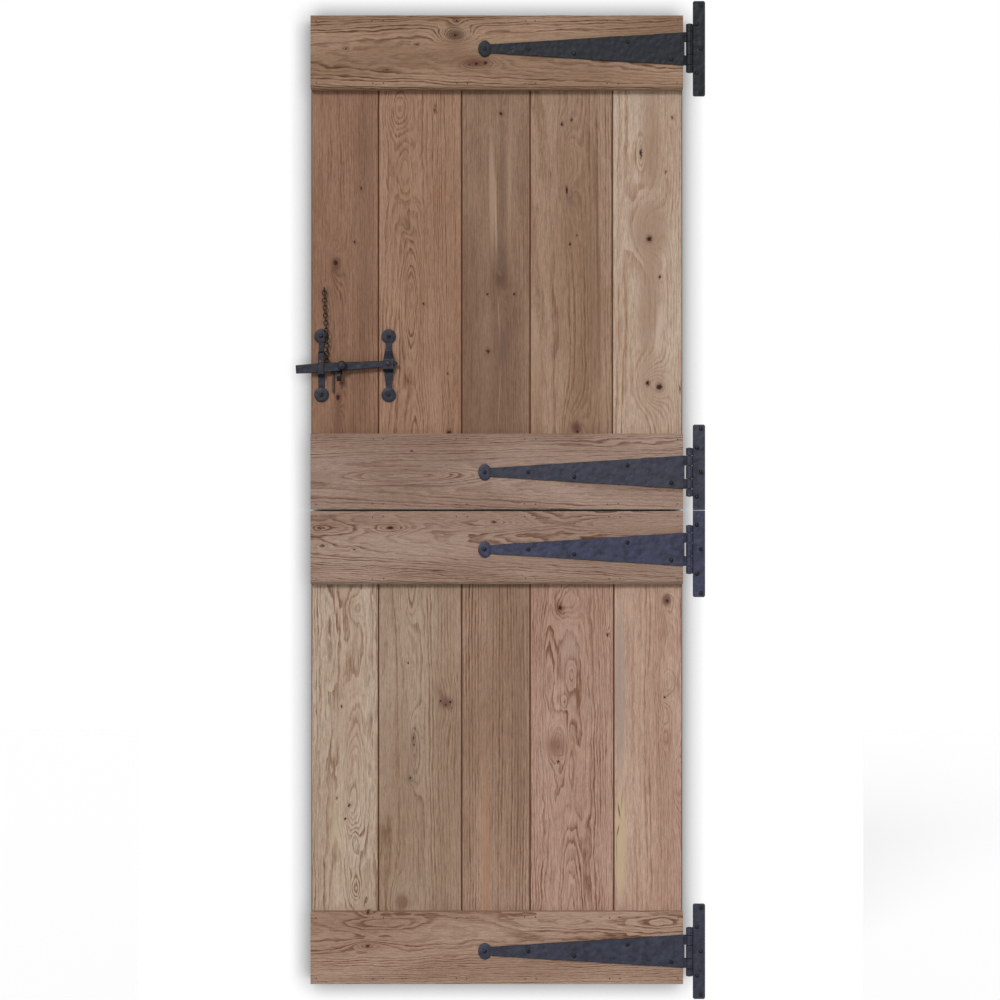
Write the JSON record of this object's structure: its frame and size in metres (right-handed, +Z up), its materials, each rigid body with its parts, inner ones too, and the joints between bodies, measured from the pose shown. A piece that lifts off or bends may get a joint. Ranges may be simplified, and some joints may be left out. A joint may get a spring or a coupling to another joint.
{
  "type": "dutch stable door",
  "caption": "Ledged plank door in two leaves that swing apart, one over the other, on long tee hinges, with a thumb latch and a chained lock peg on the upper leaf.",
  "frame": {"origin": "middle screw hole of the bottom cross plate, on the plane of its back", "axes": "+Z up; +Y from the ledged side to the boarded side, into the door post; +X to the right as seen from the ledged side, where the hinges are"},
  "size_m": [0.838, 0.1179, 2.04],
  "materials": {
    "oak_upper_1": "oiled",
    "oak_upper_2": "oiled",
    "oak_upper_3": "oiled",
    "oak_upper_4": "oiled",
    "oak_upper_5": "oiled",
    "oak_lower_1": "oiled",
    "oak_lower_2": "oiled",
    "oak_lower_3": "oiled",
    "oak_lower_4": "oiled",
    "oak_lower_5": "oiled",
    "oak_top_ledge": "oiled",
    "oak_upper_meeting_ledge": "oiled",
    "oak_lower_meeting_ledge": "oiled",
    "oak_bottom_ledge": "oiled",
    "black_iron": "satin",
    "black_screw": "satin",
    "chain_iron": "waxed",
    "peg_iron": "waxed"
  },
  "bodies": {
    "frame_side": {"top_frame_plate": "black_iron", "top_hinge_pin": "black_iron", "upper_middle_frame_plate": "black_iron", "upper_middle_hinge_pin": "black_iron", "lower_middle_frame_plate": "black_iron", "lower_middle_hinge_pin": "black_iron", "bottom_frame_plate": "black_iron", "bottom_hinge_pin": "black_iron"},
    "upper_leaf": {"upper_board_1": "oak_upper_1", "upper_board_2": "oak_upper_2", "upper_board_3": "oak_upper_3", "upper_board_4": "oak_upper_4", "upper_board_5": "oak_upper_5", "top_ledge": "oak_top_ledge", "upper_meeting_ledge": "oak_upper_meeting_ledge", "top_strap": "black_iron", "upper_middle_strap": "black_iron", "upper_strap_screws": "black_screw", "latch_guide": "black_iron", "pivot_plate": "black_iron", "pivot_rivet": "black_iron", "latch_plate_screws": "black_screw", "lever_pin": "black_iron", "pull_handle": "black_iron", "handle_screws": "black_screw", "chain_staple": "chain_iron", "lock_chain": "chain_iron"},
    "lower_leaf": {"lower_board_1": "oak_lower_1", "lower_board_2": "oak_lower_2", "lower_board_3": "oak_lower_3", "lower_board_4": "oak_lower_4", "lower_board_5": "oak_lower_5", "lower_meeting_ledge": "oak_lower_meeting_ledge", "bottom_ledge": "oak_bottom_ledge", "lower_middle_strap": "black_iron", "bottom_strap": "black_iron", "lower_strap_screws": "black_screw"},
    "latch_bar": {"latch_bar": "black_iron", "latch_knob": "black_iron"},
    "thumb_lever": {"thumb_lever": "black_iron"},
    "lock_peg": {"lock_peg": "peg_iron"}
  },
  "joints": [
    {"name": "upper_leaf_swing", "type": "hinge", "parent": "frame_side", "child": "upper_leaf", "pos_m": [-0.0239, -0.007, 1.4121], "axis": [0, 0, 1], "range_deg": [0, 175]},
    {"name": "lower_leaf_swing", "type": "hinge", "parent": "frame_side", "child": "lower_leaf", "pos_m": [-0.0239, -0.007, 0.4108], "axis": [0, 0, 1], "range_deg": [0, 175]},
    {"name": "thumb_lever_press", "type": "hinge", "parent": "upper_leaf", "child": "thumb_lever", "pos_m": [-0.7403, 0.053, 1.18325], "axis": [-1, 0, 0], "range_deg": [0, 13]},
    {"name": "latch_bar_lift", "type": "hinge", "parent": "upper_leaf", "child": "latch_bar", "pos_m": [-0.6393, 0.008, 1.2015], "axis": [0, 1, 0], "range_deg": [0, 6]},
    {"name": "lock_peg_swing", "type": "hinge", "parent": "upper_leaf", "child": "lock_peg", "pos_m": [-0.75302, 0.0166, 1.18309], "axis": [0, 1, 0], "range_deg": [-6, 10]}
  ],
  "couplings": [
    {"joint": "latch_bar_lift", "follows": "thumb_lever_press", "ratio": 0.46154}
  ]
}
